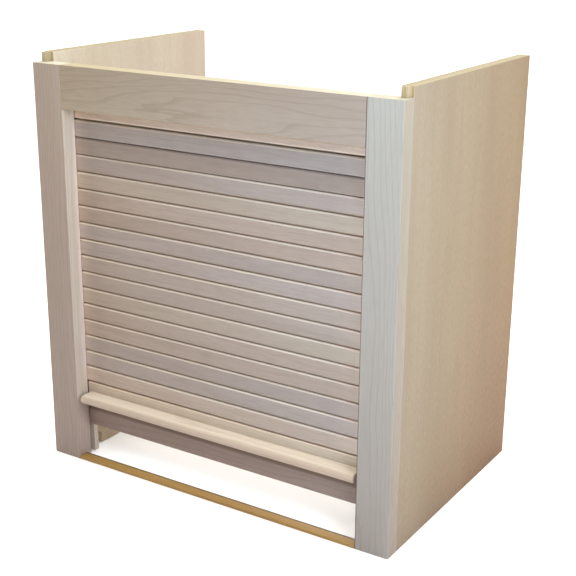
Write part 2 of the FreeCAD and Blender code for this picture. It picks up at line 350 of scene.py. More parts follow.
@dataclass(frozen=True)
class Plywood(Finish):
    """Routed or sawn plywood: plies with dark glue lines on edges, plain veneer on faces square to X."""

    pale: str
    deep: str
    glue: str
    ply_mm: float
    mottle_mm: float
    roughness: float
    face_turn: Point = (0.6, 0.8)
    ply_turn: Point = (0.35, 0.65)
    seam_width: float = 0.12
    seam_share: float = 0.5
    ply_wander: float = 0.4
    mottle_squeeze: float = 0.12
    relief: float = 0.3
    relief_mm: float = 0.3

    def surface(self, tree: NodeTree) -> Links:
        """Add the plywood's nodes, from places in the CAD frame.

        Args:
            tree: The material's node tree.

        Returns:
            What feeds the shader's sockets.
        """
        place = add(tree, "TexCoord", {}).outputs["Object"]
        normal = add(tree, "NewGeometry", {}).outputs["True Normal"]
        facing = add(tree, "VectorMath", {0: normal}, operation="ABSOLUTE")
        side = add(tree, "SeparateXYZ", {0: facing.outputs[0]}).outputs[0]
        start, end = self.face_turn
        face = add(tree, "MapRange", {0: side, 1: start, 2: end})
        waves = {"Vector": place, "Scale": wave_scale(2 * self.ply_mm), "Distortion": self.ply_wander}
        plies = add(tree, "TexWave", waves, wave_type="BANDS", bands_direction="X", wave_profile="SIN")
        start, end = self.ply_turn
        layer = add(tree, "MapRange", {0: plies.outputs[1], 1: start, 2: end})
        tall = add(tree, "VectorMath", {0: place, 1: (1, 1, self.mottle_squeeze)}, operation="MULTIPLY")
        scale = 1 / (self.mottle_mm * MM)
        mottle = add(tree, "TexNoise", {"Vector": tall.outputs[0], "Scale": scale, "Detail": 4.0})
        pale, deep, glue = (linear(colour) for colour in (self.pale, self.deep, self.glue))
        edge = add(tree, "Mix", {0: layer.outputs[0], 6: pale, 7: deep}, data_type="RGBA")
        veneer = add(tree, "Mix", {0: mottle.outputs[0], 6: pale, 7: deep}, data_type="RGBA")
        seam = add(tree, "MapRange", {0: plies.outputs[1], 2: self.seam_width, 3: self.seam_share, 4: 0.0})
        glued = add(tree, "Mix", {0: seam.outputs[0], 6: edge.outputs[2], 7: glue}, data_type="RGBA")
        shown = {0: face.outputs[0], 6: glued.outputs[2], 7: veneer.outputs[2]}
        colour = add(tree, "Mix", shown, data_type="RGBA")
        depth = self.relief_mm * MM
        bump = add(tree, "Bump", {"Strength": self.relief, "Distance": depth, "Height": mottle.outputs[0]})
        return {
            "Base Color": colour.outputs[2], "Roughness": self.roughness, "Normal": bump.outputs[0],
            "IOR": WOOD_IOR,
        }


@dataclass(frozen=True)
class Canvas(Finish):
    """Cotton duck in plain weave: round threads over and under each other, unbleached."""

    thread: str
    hollow: str
    thread_mm: float
    roughness: float
    slub: float = 0.5
    slub_scale: float = 0.3
    relief: float = 0.6
    relief_mm: float = 0.4
    fuzz: float = 0.15

    def surface(self, tree: NodeTree) -> Links:
        """Add the cloth's nodes, which follow the sheet's own length and width.

        Args:
            tree: The material's node tree.

        Returns:
            What feeds the shader's sockets.
        """
        grain = add(tree, "Attribute", {}, attribute_name="grain").outputs["Vector"]
        threads = {
            "Vector": grain, "Scale": wave_scale(self.thread_mm), "Distortion": self.slub, "Detail": 1.0,
            "Detail Scale": self.slub_scale,
        }
        bands = {"wave_type": "BANDS", "wave_profile": "SIN"}
        warp, weft = (add(tree, "TexWave", threads, bands_direction=way, **bands) for way in "XY")
        weave = add(tree, "Math", {0: warp.outputs[1], 1: weft.outputs[1]}, operation="MULTIPLY")
        hollow, thread = linear(self.hollow), linear(self.thread)
        colour = add(tree, "Mix", {0: weave.outputs[0], 6: hollow, 7: thread}, data_type="RGBA")
        depth = self.relief_mm * MM
        bump = add(tree, "Bump", {"Strength": self.relief, "Distance": depth, "Height": weave.outputs[0]})
        return {
            "Base Color": colour.outputs[2], "Roughness": self.roughness, "Normal": bump.outputs[0],
            "Sheen Weight": self.fuzz,
        }


@dataclass(frozen=True)
class Steel(Finish):
    """Zinc-plated steel: grey metal with a soft cloudy gloss."""

    colour: str
    cloud: str
    cloud_mm: float
    roughness: float
    gloss_swing: float = 0.1

    def surface(self, tree: NodeTree) -> Links:
        """Add the metal's nodes, from places in the CAD frame.

        Args:
            tree: The material's node tree.

        Returns:
            What feeds the shader's sockets.
        """
        place = add(tree, "TexCoord", {}).outputs["Object"]
        scale = 1 / (self.cloud_mm * MM)
        clouds = add(tree, "TexNoise", {"Vector": place, "Scale": scale, "Detail": 3.0})
        plain, rail_shade_from = linear(self.colour), linear(self.cloud)
        tint = add(tree, "Mix", {0: clouds.outputs[0], 6: plain, 7: rail_shade_from}, data_type="RGBA")
        low, high = self.roughness - self.gloss_swing, self.roughness + self.gloss_swing
        rough = add(tree, "MapRange", {0: clouds.outputs[0], 3: low, 4: high})
        return {"Base Color": tint.outputs[2], "Roughness": rough.outputs[0], "Metallic": 1.0}


# Hard maple, planed and sanded, with no finish on it: pale, close-grained, with thin lines.
FRAME_MAPLE = Timber(
    "sanded_maple", early="#E9DFD6", late="#B1A194", drift="#DFD3C9", fibre="#CBBFB2",
    ring_mm=4.0, line_share=0.34, sway_mm=30.0, sway_run_mm=330.0, sway_across_mm=46.0,
    fibre_mm=1.3, fibre_share=0.3, roughness=0.62)
# Ripped maple laths: straight grain in narrow strips, matt from the sander.
SLAT_MAPLE = Timber(
    "ripped_maple", early="#E2D6D3", late="#B9ABA4", drift="#D6C9C5", fibre="#C1B4AF",
    ring_mm=5.0, line_share=0.25, sway_mm=14.0, sway_run_mm=300.0, sway_across_mm=40.0,
    fibre_mm=1.2, fibre_share=0.35, roughness=0.64)
# Sliced maple veneer, sanded: tan, with a broad soft figure.
PANEL_VENEER = Timber(
    "maple_veneer", early="#DAD3BF", late="#C0B39B", drift="#CFC5B0", fibre="#C1B69F",
    ring_mm=14.0, line_share=0.2, sway_mm=60.0, sway_run_mm=420.0, sway_across_mm=60.0,
    fibre_mm=1.5, fibre_share=0.4, roughness=0.58, fibre_stretch=4.0)
# Planed golden strip: resinous yellow wood with closer, darker lines.
SILL_WOOD = Timber(
    "golden_strip", early="#A17F45", late="#785926", drift="#96753C", fibre="#7C5E2B",
    ring_mm=3.0, line_share=0.5, sway_mm=8.0, sway_run_mm=240.0, sway_across_mm=30.0,
    fibre_mm=1.2, fibre_share=0.35, roughness=0.55)
# Sawn pine cleats: yellowish, with strong summer lines.
PINE = Timber(
    "sawn_pine", early="#BBAC99", late="#9B794F", drift="#B1A18A", fibre="#9D8560",
    ring_mm=3.6, line_share=0.5, sway_mm=8.0, sway_run_mm=260.0, sway_across_mm=34.0,
    fibre_mm=1.3, fibre_share=0.4, roughness=0.7)
# Turned beech dowels: pinkish, with short dark flecks.
BEECH = Timber(
    "turned_beech", early="#D6B79A", late="#B8916D", drift="#CCAC8D", fibre="#A9835F",
    ring_mm=2.6, line_share=0.35, sway_mm=4.0, sway_run_mm=160.0, sway_across_mm=24.0,
    fibre_mm=1.2, fibre_share=0.45, roughness=0.6, fibre_stretch=4.0)
# Birch plywood for the coil guides, and the plywood core that shows along the panels' edges.
GUIDE_PLY = Plywood(
    "birch_plywood", pale="#C6B592", deep="#A3875F", glue="#6B5236",
    ply_mm=1.6, mottle_mm=9.0, roughness=0.62)
PANEL_CORE = Plywood(
    "panel_core", pale="#B5AC8D", deep="#A3936F", glue="#6A5638",
    ply_mm=2.1, mottle_mm=7.0, roughness=0.65)
# Unbleached cotton duck: cream, with a woven look. Threads are 0.9 mm apart on the real cloth; they are
# drawn twice as coarse, so that the weave shows.
DUCK = Canvas("cotton_duck", thread="#D9D0BA", hollow="#A89C82", thread_mm=1.8, roughness=0.9)
# Zinc-plated screws and pins: cool grey, with a soft cloudy gloss.
ZINC = Steel("zinc_plated_steel", colour="#C4C6C8", cloud="#A5A6A4", cloud_mm=2.5, roughness=0.38)
# Matt white floor.
FLOOR = Plain("pale_floor", "#FFFFFF", roughness=0.9)


@dataclass(frozen=True)
class Corner:
    """One corner of a section, with the round that eases it."""

    a: float
    b: float
    ease: float


def section(corners: list[Corner], inset: float) -> list[Point]:
    """Outline of a section with its corners eased.

    Args:
        corners: Corners in anticlockwise order.
        inset: How far the outline is drawn in all round.

    Returns:
        Points of the outline; a corner without ease gives one.
    """
    outline: list[Point] = []
    for before, here, after in zip(corners[-1:] + corners[:-1], corners, corners[1:] + corners[:1]):
        middle = Vector((here.a, here.b))
        back = (Vector((before.a, before.b)) - middle).normalized()
        on = (Vector((after.a, after.b)) - middle).normalized()
        half = math.acos(max(-1.0, min(1.0, back.dot(on)))) / 2
        hollow = on.cross(back) < 0
        bent = half < math.pi / 2 - STRAIGHT_WITHIN
        towards = (back + on).normalized() if bent else Vector((-on.y, on.x))
        middle = middle + towards * (-inset if hollow else inset) / math.sin(half)
        if here.ease <= 0:
            outline.append(tuple(middle))
            continue
        radius = max(LEAST_ROUND, here.ease + (inset if hollow else -inset))
        centre = middle + towards * radius / math.sin(half)
        start = middle + back * radius / math.tan(half) - centre
        turn = (math.pi - 2 * half) * (-1 if hollow else 1)
        for i in range(CORNER_POINTS):
            angle = turn * i / (CORNER_POINTS - 1)
            outline.append(tuple(centre + Matrix.Rotation(angle, 2) @ start))
    return outline


def box_corners(a: Point, b: Point, ease: float) -> list[Corner]:
    """Four corners of a rectangle between two (low, high) pairs."""
    return [Corner(a[i], b[k], ease) for i, k in ((0, 0), (1, 0), (1, 1), (0, 1))]


def shaded(name: str, shape: BMesh) -> Object:
    """Turn a built shape into an object, smooth across its small turns and crisp at its edges.

    Args:
        name: Name of the piece.
        shape: The built shape, which is used up.

    Returns:
        The new object.
    """
    bmesh.ops.recalc_face_normals(shape, faces=shape.faces)
    for face in shape.faces:
        face.smooth = True
    mesh = bpy.data.meshes.new(name)
    shape.to_mesh(mesh)
    shape.free()
    mesh.set_sharp_from_angle(angle=SMOOTH_BELOW)
    piece = bpy.data.objects.new(name, mesh)
    bpy.context.scene.collection.objects.link(piece)
    return piece


def band(shape: BMesh, ring: list[BMVert], after: list[BMVert]) -> None:
    """Lay faces between two rings of as many points."""
    for i in range(len(ring)):
        shape.faces.new((ring[i - 1], ring[i], after[i], after[i - 1]))


def lath(
    name: str, corners: list[Corner], run: Run, span: Point, end_ease: float, stops: tuple[float, ...] = ()
) -> Object:
    """Straight piece of one section, with its ends eased.

    Args:
        name: Name of the piece.
        corners: Section across the run.
        run: Axis that the piece follows.
        span: Where it starts and ends along the run.
        end_ease: Round at the ends.
        stops: Places along the run, from the low end, where its faces are divided.

    Returns:
        The piece.
    """
    shape = bmesh.new()
    rings = []
    turns = [math.pi / 2 * i / (END_RINGS - 1) for i in range(END_RINGS)]
    round_end = [(end_ease * (1 - math.cos(t)), end_ease * (1 - math.sin(t))) for t in turns]
    low = [(span[0] + step, inset) for step, inset in round_end]
    high = [(span[1] - step, inset) for step, inset in reversed(round_end)]
    for along, inset in [*low, *((stop, 0.0) for stop in stops), *high]:
        rings.append([shape.verts.new(run.point(along, a, b)) for a, b in section(corners, inset)])
    for ring, after in zip(rings, rings[1:]):
        band(shape, ring, after)
    shape.faces.new(rings[0])
    shape.faces.new(rings[-1])
    return shaded(name, shape)


def eased_copy(name: str, node: str, ease: float, levels: tuple[float, ...] = ()) -> Object:
    """Copy of a CAD piece, its screw holes kept, with its long edges eased.

    Args:
        name: Name of the piece.
        node: CAD node to copy.
        ease: Width of the eased edges.
        levels: Heights at which its faces are divided.

    Returns:
        The piece.
    """
    shape = bmesh.new()
    shape.from_mesh(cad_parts[node].data)
    bmesh.ops.remove_doubles(shape, verts=shape.verts, dist=MERGE)
    bmesh.ops.dissolve_limit(shape, angle_limit=FLAT_BELOW, verts=shape.verts, edges=shape.edges)
    long = [e for e in shape.edges if len(e.link_faces) == 2 and e.calc_length() > SHORTEST_EASED * MM]
    sharp = [e for e in long if e.calc_face_angle() > SHARP_ABOVE]
    bmesh.ops.bevel(
        shape, geom=sharp, offset=ease * MM, segments=2, profile=0.5, affect="EDGES", clamp_overlap=True)
    for level in levels:
        everything = [*shape.verts, *shape.edges, *shape.faces]
        bmesh.ops.bisect_plane(shape, geom=everything, plane_co=(0, 0, level * MM), plane_no=(0, 0, 1))
    return shaded(name, shape)


def joined(strips: list[Object]) -> Object:
    """Join strips that meet edge to edge into one piece, keeping what each point stores.

    Args:
        strips: The strips, of which the first becomes the piece.

    Returns:
        The piece.
    """
    piece = strips[0]
    with bpy.context.temp_override(
        object=piece, active_object=piece, selected_objects=strips, selected_editable_objects=strips
    ):
        bpy.ops.object.join()
    shape = bmesh.new()
    shape.from_mesh(piece.data)
    bmesh.ops.remove_doubles(shape, verts=shape.verts, dist=MERGE)
    bmesh.ops.recalc_face_normals(shape, faces=shape.faces)
    shape.to_mesh(piece.data)
    shape.free()
    piece.data.set_sharp_from_angle(angle=SMOOTH_BELOW)
    return piece


@dataclass(frozen=True)
class Cut:
    """Where a board lay in its log: its run, its shift along the log and the heart beside its middle.

    A board's colour may change along it: the low end's tint fades out towards the high end, and the wood
    may be so many times paler at some places along the run.
    """

    run: Run
    heart: Point
    shift: float = 0.0
    lean: float = 0.0
    low_end: Tone = Tone.FRESH
    paler: tuple[Point, ...] = ()

    def gain(self, place: float) -> float:
        """How many times paler the board is at a place along its run.

        Args:
            place: Place along the run.

        Returns:
            Factor between those of the given places on either side, or that of the nearest one.
        """
        for (low, first), (high, second) in zip(self.paler, self.paler[1:]):
            if place < high:
                return first + (second - first) * max(0.0, (place - low) / (high - low))
        return self.paler[-1][1] if self.paler else 1.0

    def mark(self, piece: Object, tone: Tone = Tone.FRESH, edge: Edge | None = None) -> None:
        """Store each point's place in the log and the board's tone on the mesh.

        Args:
            piece: The board.
            tone: Its tint against the timber.
            edge: Gives the tone at a point that lies on a paler or darker edge.
        """
        mesh = piece.data
        points = [vertex.co.copy() for vertex in mesh.vertices]
        low, high = Vector(map(min, *points)), Vector(map(max, *points))
        middle = (low + high) / 2
        across = [axis for axis in range(3) if axis != self.run.value]
        grain: list[float] = []
        for point in points:
            along = point[self.run.value] - middle[self.run.value]
            sides = [point[axis] - middle[axis] - offset * MM for axis, offset in zip(across, self.heart)]
            sides[0] += along * math.tan(math.radians(self.lean))
            grain += [along + self.shift * MM, *sides]
        mesh.attributes.new("grain", "FLOAT_VECTOR", "POINT").data.foreach_set("vector", grain)
        tint: list[float] = []
        start = Vector(linear(self.low_end.value))
        for point in points:
            along = (point - low)[self.run.value] / (high - low)[self.run.value]
            here = edge and edge(point / MM) or tone
            gain = self.gain(point[self.run.value] / MM)
            fade = start.lerp(Vector.Fill(4, 1.0), along)
            tint += [min(1.0, gain * a * b) for a, b in zip(linear(here.value), fade)]
        mesh.attributes.new("tone", "FLOAT_COLOR", "POINT").data.foreach_set("color", tint)


def dress(piece: Object, *finishes: Material) -> None:
    """Give a piece its materials."""
    for finish in finishes:
        piece.data.materials.append(finish)


def settle(piece: Object, body: str | None, node: str) -> None:
    """Let a piece ride on a body and stand for a CAD node.

    Args:
        piece: The piece.
        body: CAD body that it moves with, or None to leave it unattached.
        node: CAD node that it stands for.
    """
    if body:
        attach(piece, body)
    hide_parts(node)


def recoat(node: str, finish: Material) -> None:
    """Give a carried-over CAD node a finish.

    Args:
        node: CAD node whose shape stays as it is.
        finish: Its material.
    """
    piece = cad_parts[node]
    for place in piece.material_slots:
        place.link = "OBJECT"
        place.material = finish
    log.info("%s keeps its CAD shape", node)


def reach(node: str, axis: Run) -> Point:
    """Low and high end of a CAD node along one axis, in millimetres."""
    low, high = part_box(node)
    return low[axis.value] / MM, high[axis.value] / MM


def islands(node: str) -> list[tuple[Vector, Vector]]:
    """Boxes, in metres, of the separate solids in one CAD node.

    Args:
        node: CAD node, such as a set of screws.

    Returns:
        Lowest and highest corner of each solid.
    """
    shape = bmesh.new()
    shape.from_mesh(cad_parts[node].data)
    bmesh.ops.remove_doubles(shape, verts=shape.verts, dist=MERGE)
    left = set(shape.verts)
    boxes = []
    while left:
        front = [left.pop()]
        found = list(front)
        while front:
            near = {edge.other_vert(v) for v in front for edge in v.link_edges} & left
            left -= near
            front = list(near)
            found += front
        places = [v.co.copy() for v in found]
        boxes.append((Vector(map(min, *places)), Vector(map(max, *places))))
    shape.free()
    return sorted(boxes, key=lambda box: tuple(round(c, 6) for c in box[0]))


@dataclass
class WoodScrews:
    """A set of flat-head wood screws with a cross recess, standing for one CAD node."""

    node: str
    body: str
    run: Run
    heads: Heads
    head_round: float = 0.25
    rim_drop: float = 0.06
    recess_width: float = 1.1
    recess_reach: float = 2.3
    recess_depth: float = 1.7
    recess_taper: float = 0.55
    shank: float = 2.0
    tip_length: float = 3.0
    tip: float = 0.15
    sides: int = 28

    def one(self, shape: BMesh, low: Vector, high: Vector) -> None:
        """Add one screw to the set's shape.

        Args:
            shape: Shape of the whole set.
            low: Lowest corner of the screw's box.
            high: Highest corner of the screw's box.
        """
        axis = self.run.value
        middle = (low + high) / 2
        at_high = self.heads is Heads.BACK or middle[axis] < 0
        across = [i for i in range(3) if i != axis]
        head = (high[across[0]] - low[across[0]]) / 2 / MM
        length = (high[axis] - low[axis]) / MM
        sign = -1 if at_high else 1
        top = (high if at_high else low)[axis]

        def at(depth: float, radius: float, angle: float) -> Vector:
            """Point on or in the screw.

            Args:
                depth: Depth under the head's face.
                radius: Distance from the screw's axis.
                angle: Turn round that axis.

            Returns:
                The point, in metres.
            """
            point = middle.copy()
            point[axis] = top + sign * depth * MM
            point[across[0]] += radius * math.cos(angle) * MM
            point[across[1]] += radius * math.sin(angle) * MM
            return point

        profile = [
            (0.0, head - 2 * self.head_round), (self.rim_drop, head - self.head_round),
            (self.head_round, head), (head - self.shank + self.head_round, self.shank),
            (length - self.tip_length, self.shank), (length, self.tip),
        ]
        turns = [2 * math.pi * i / self.sides for i in range(self.sides)]
        rings = [[shape.verts.new(at(depth, radius, turn)) for turn in turns] for depth, radius in profile]
        for ring, after in zip(rings, rings[1:]):
            band(shape, ring, after)
        shape.faces.new(rings[-1])
        half = self.recess_width / 2
        corner = math.atan2(half, self.recess_reach)
        far = math.hypot(half, self.recess_reach)
        cross = []
        for quarter in range(4):
            base = quarter * math.pi / 2
            cross += [(far, base - corner), (far, base + corner), (half * math.sqrt(2), base + math.pi / 4)]
        rim = [shape.verts.new(at(0.0, radius, angle)) for radius, angle in cross]
        taper = self.recess_taper
        floor = [shape.verts.new(at(self.recess_depth, radius * taper, angle)) for radius, angle in cross]
        band(shape, rim, floor)
        shape.faces.new(floor)
        loops = []
        for loop in (rings[0], rim):
            loops += [shape.edges.get((loop[i - 1], loop[i])) for i in range(len(loop))]
        bmesh.ops.bridge_loops(shape, edges=loops)

    def build(self, finish: Material) -> None:
        """Build and dress the set.

        Args:
            finish: The screws' metal.
        """
        shape = bmesh.new()
        for low, high in islands(self.node):
            self.one(shape, low, high)
        piece = shaded(self.node + "_cross_recess", shape)
        dress(piece, finish)
        settle(piece, self.body, self.node)


SCREWS = (
    WoodScrews("cleat_screws", "carcass", Run.X, Heads.INNER),
    WoodScrews("coil_guide_screws", "carcass", Run.X, Heads.INNER),
    WoodScrews("track_screws", "carcass", Run.Y, Heads.BACK),
    WoodScrews("pull_screws", "tambour", Run.Y, Heads.BACK),
    WoodScrews("batten_screws", "tambour", Run.Y, Heads.BACK),
)


@dataclass
class FaceFrame:
    """Stiles, rail and sill strip of the front."""

    front_round: float = 0.8
    back_ease: float = 0.3
    end_ease: float = 0.35
    butt_ease: float = 0.05
    arris_line: float = 1.3
    groove: Point = (212.575, 219.225)
    groove_depth: float = 8.15
    groove_ease: float = 0.1
    inner_line: float = 7.5
    sill_ease: float = 0.2
    sill_line: float = 2.2
    line_fade: float = 0.3

    def stile(self, side: Side, maple: Material) -> None:
        """Build one upright with the groove for its panel.

        Args:
            side: Side of the part.
            maple: The frame's wood.
        """
        node = side.value + "_stile"
        right = side is Side.RIGHT
        x, y = reach(node, Run.X), reach(node, Run.Y)
        groove = self.groove if right else (-self.groove[1], -self.groove[0])
        inner, outer = x if right else x[::-1]
        inward = -1 if right else 1
        corners = [
            Corner(x[0], y[0], self.front_round), Corner(inner - inward * self.arris_line, y[0], 0),
            Corner(x[1], y[0], self.front_round), Corner(x[1], y[1], self.back_ease),
            Corner(groove[1], y[1], self.groove_ease), Corner(groove[1], y[1] - self.groove_depth, 0),
            Corner(groove[0], y[1] - self.groove_depth, 0), Corner(groove[0], y[1], self.groove_ease),
            Corner(x[0], y[1], self.back_ease),
        ]
        corners.insert(len(corners) if right else 3, Corner(inner, y[1] - self.inner_line, 0))
        foot = reach("pull_moulding", Run.Z)
        piece = lath(node + "_board", corners, Run.Z, reach(node, Run.Z), self.end_ease, stops=foot)
        # The low end's tint is painted shade, darker towards each stile's foot.
        if right:
            cut = Cut(Run.Z, heart=(-34.0, 62.0), shift=120.0, lean=1.2, low_end=Tone.PUTTY)
        else:
            cut = Cut(Run.Z, heart=(48.0, 30.0), shift=900.0, lean=-0.8, low_end=Tone.BARK)
        top = reach(node, Run.Z)[1]

        def edge(point: Vector) -> Tone | None:
            """Paler end and sides, painted shade below the pull and a painted shadow on the right arris.

            The inner side is palest, to offset the shade that falls there.

            Args:
                point: Place of a point of the board.

            Returns:
                Its tone, or None for the board's own.
            """
            if point.z > top - NEAR:
                return Tone.STRAW
            on_arris = abs(point.x - inner) < self.front_round + NEAR
            if right and on_arris and point.y < y[0] + self.front_round / 2:
                return Tone.SHADOW_LINE
            if abs(point.x - inner) < NEAR:
                inner_light = Tone.FRESH if point.y > y[1] - self.inner_line / 2 else Tone.PEARL
                return inner_light if point.z > foot[0] + END_SLACK else Tone.OAT
            return Tone.PALE if abs(point.x - outer) < NEAR else None

        cut.mark(piece, Tone.BLUISH if right else Tone.UMBER, edge)
        dress(piece, maple)
        settle(piece, "carcass", node)

    def build(self, maple: Material, golden: Material, beech: Material) -> None:
        """Build the whole frame.

        Args:
            maple: Wood of the stiles and the rail.
            golden: Wood of the sill strip.
            beech: Wood of the dowels.
        """
        for side in Side:
            self.stile(side, maple)
        y, z = reach("top_rail", Run.Y), reach("top_rail", Run.Z)
        corners = box_corners(y, z, self.back_ease)
        corners[0] = Corner(y[0], z[0], self.front_round)
        corners.append(Corner(y[0], z[0] + self.arris_line, 0))
        rail = lath("top_rail_board", corners, Run.X, reach("top_rail", Run.X), self.butt_ease)

        def edge(point: Vector) -> Tone | None:
            """Paler top edge, and a painted shadow line along the lower arris.

            Args:
                point: Place of a point of the board.

            Returns:
                Its tone, or None for the board's own.
            """
            if point.z > z[1] - NEAR:
                return Tone.STRAW
            on_arris = point.z < z[0] + self.front_round + NEAR and point.y < y[0] + self.front_round / 2
            return Tone.EDGE_SHADE if on_arris else None

        # The low end's tint is painted shade, darker and warmer towards the rail's left end.
        cut = Cut(Run.X, heart=(70.0, -14.0), shift=300.0, lean=2.0, low_end=Tone.KHAKI)
        cut.mark(rail, Tone.TAN, edge)
        dress(rail, maple)
        settle(rail, "carcass", "top_rail")
        y, z = reach("sill_strip", Run.Y), reach("sill_strip", Run.Z)
        corners = box_corners(y, z, self.sill_ease)
        line = y[1] - self.sill_line
        starts = (line, line - self.line_fade)
        corners[3:] = [*(Corner(start, z[1], 0) for start in starts), Corner(y[0], z[1], self.front_round)]
        sill = lath("sill_strip_board", corners, Run.X, reach("sill_strip", Run.X), self.butt_ease)

        def back_shadow(point: Vector) -> Tone | None:
            """Painted shadow line along the back of the top."""
            return Tone.SHADOW_LINE if point.y > line - self.line_fade / 3 and point.z > END_SLACK else None

        Cut(Run.X, heart=(30.0, 8.0), shift=40.0).mark(sill, Tone.FRESH, back_shadow)
        dress(sill, golden)
        settle(sill, "carcass", "sill_strip")
        dowels = eased_copy("frame_dowels_pins", "frame_dowels", self.back_ease)
        Cut(Run.X, heart=(5.0, 9.0)).mark(dowels)
        dress(dowels, beech)
        settle(dowels, "carcass", "frame_dowels")


@dataclass
class SidePanels:
    """Veneered sides with their front tongues, and the cleats along their feet."""

    tongue_half: float = 3.175
    thickness: float = 12.7
    ease: float = 0.25
    cleat_ease: float = 0.5
    face_turn: float = 0.7
    face_share: float = 0.98

    def panel(self, side: Side, veneer: Material, core: Material) -> None:
        """Build one side, veneered on both faces, its core showing along the edges.

        Args:
            side: Side of the part.
            veneer: Wood of the faces.
            core: Plywood that shows along the edges.
        """
        node = side.value + "_side_panel"
        x, y = reach(node, Run.X), reach(node, Run.Y)
        shoulder = reach(side.value + "_stile", Run.Y)[1]
        middle = (x[0] + x[1]) / 2
        tongue = (middle - self.tongue_half, middle + self.tongue_half)
        corners = [
            Corner(tongue[0], y[0], self.ease), Corner(tongue[1], y[0], self.ease),
            Corner(tongue[1], shoulder, 0), Corner(x[1], shoulder, self.ease),
            Corner(x[1], y[1], self.ease), Corner(x[0], y[1], self.ease),
            Corner(x[0], shoulder, self.ease), Corner(tongue[0], shoulder, 0),
        ]
        piece = lath(node + "_board", corners, Run.Z, reach(node, Run.Z), self.ease)
        cut = Cut(Run.Z, heart=(95.0, 20.0), shift=350.0 if side is Side.RIGHT else 1200.0)

        def corner(point: Vector) -> Tone:
            """Painted shade, darker and yellower to the back, and on the right side to the foot as well.

            This follows the photograph, so part of it may be light rather than wood.

            Args:
                point: Place of a point of the board.

            Returns:
                Its tone.
            """
            front = point.y < shoulder + END_SLACK
            if side is Side.LEFT:
                return Tone.FRESH if front else Tone.CLAY
            if point.z > END_SLACK:
                return Tone.OAT if front else Tone.TOFFEE
            return Tone.HONEY if front else Tone.AMBER

        cut.mark(piece, Tone.FRESH, corner)
        dress(piece, veneer, core)
        skin = self.thickness / 2 * MM * self.face_share
        for face in piece.data.polygons:
            off_middle = abs(abs(face.center.x) - abs(middle) * MM)
            face.material_index = 0 if abs(face.normal.x) > self.face_turn and off_middle > skin else 1
        settle(piece, "carcass", node)

    def build(self, veneer: Material, core: Material, pine: Material) -> None:
        """Build both sides.

        Args:
            veneer: Wood of the panels' faces.
            core: Plywood along the panels' edges.
            pine: Wood of the cleats.
        """
        for side in Side:
            self.panel(side, veneer, core)
            node = side.value + "_cleat"
            cleat = eased_copy(node + "_strip", node, self.cleat_ease)
            Cut(Run.Y, heart=(22.0, 30.0), shift=60.0 if side is Side.LEFT else 500.0).mark(cleat)
            dress(cleat, pine)
            settle(cleat, "carcass", node)


@dataclass
class Tracks:
    """Rabbeted tracks behind the stiles and the coil guides above them."""

    ease: float = 0.4

    def build(self, maple: Material, ply: Material) -> None:
        """Build the tracks and finish the guides.

        Args:
            maple: Wood of the tracks.
            ply: Plywood of the coil guides.
        """
        for side in Side:
            node = side.value + "_track"
            track = eased_copy(node + "_strip", node, self.ease)
            cut = Cut(Run.Z, heart=(26.0, 18.0), shift=700.0 if side is Side.LEFT else 1500.0)
            cut.mark(track, Tone.BROWN)
            dress(track, maple)
            settle(track, "carcass", node)
            recoat(side.value + "_coil_guide", ply)


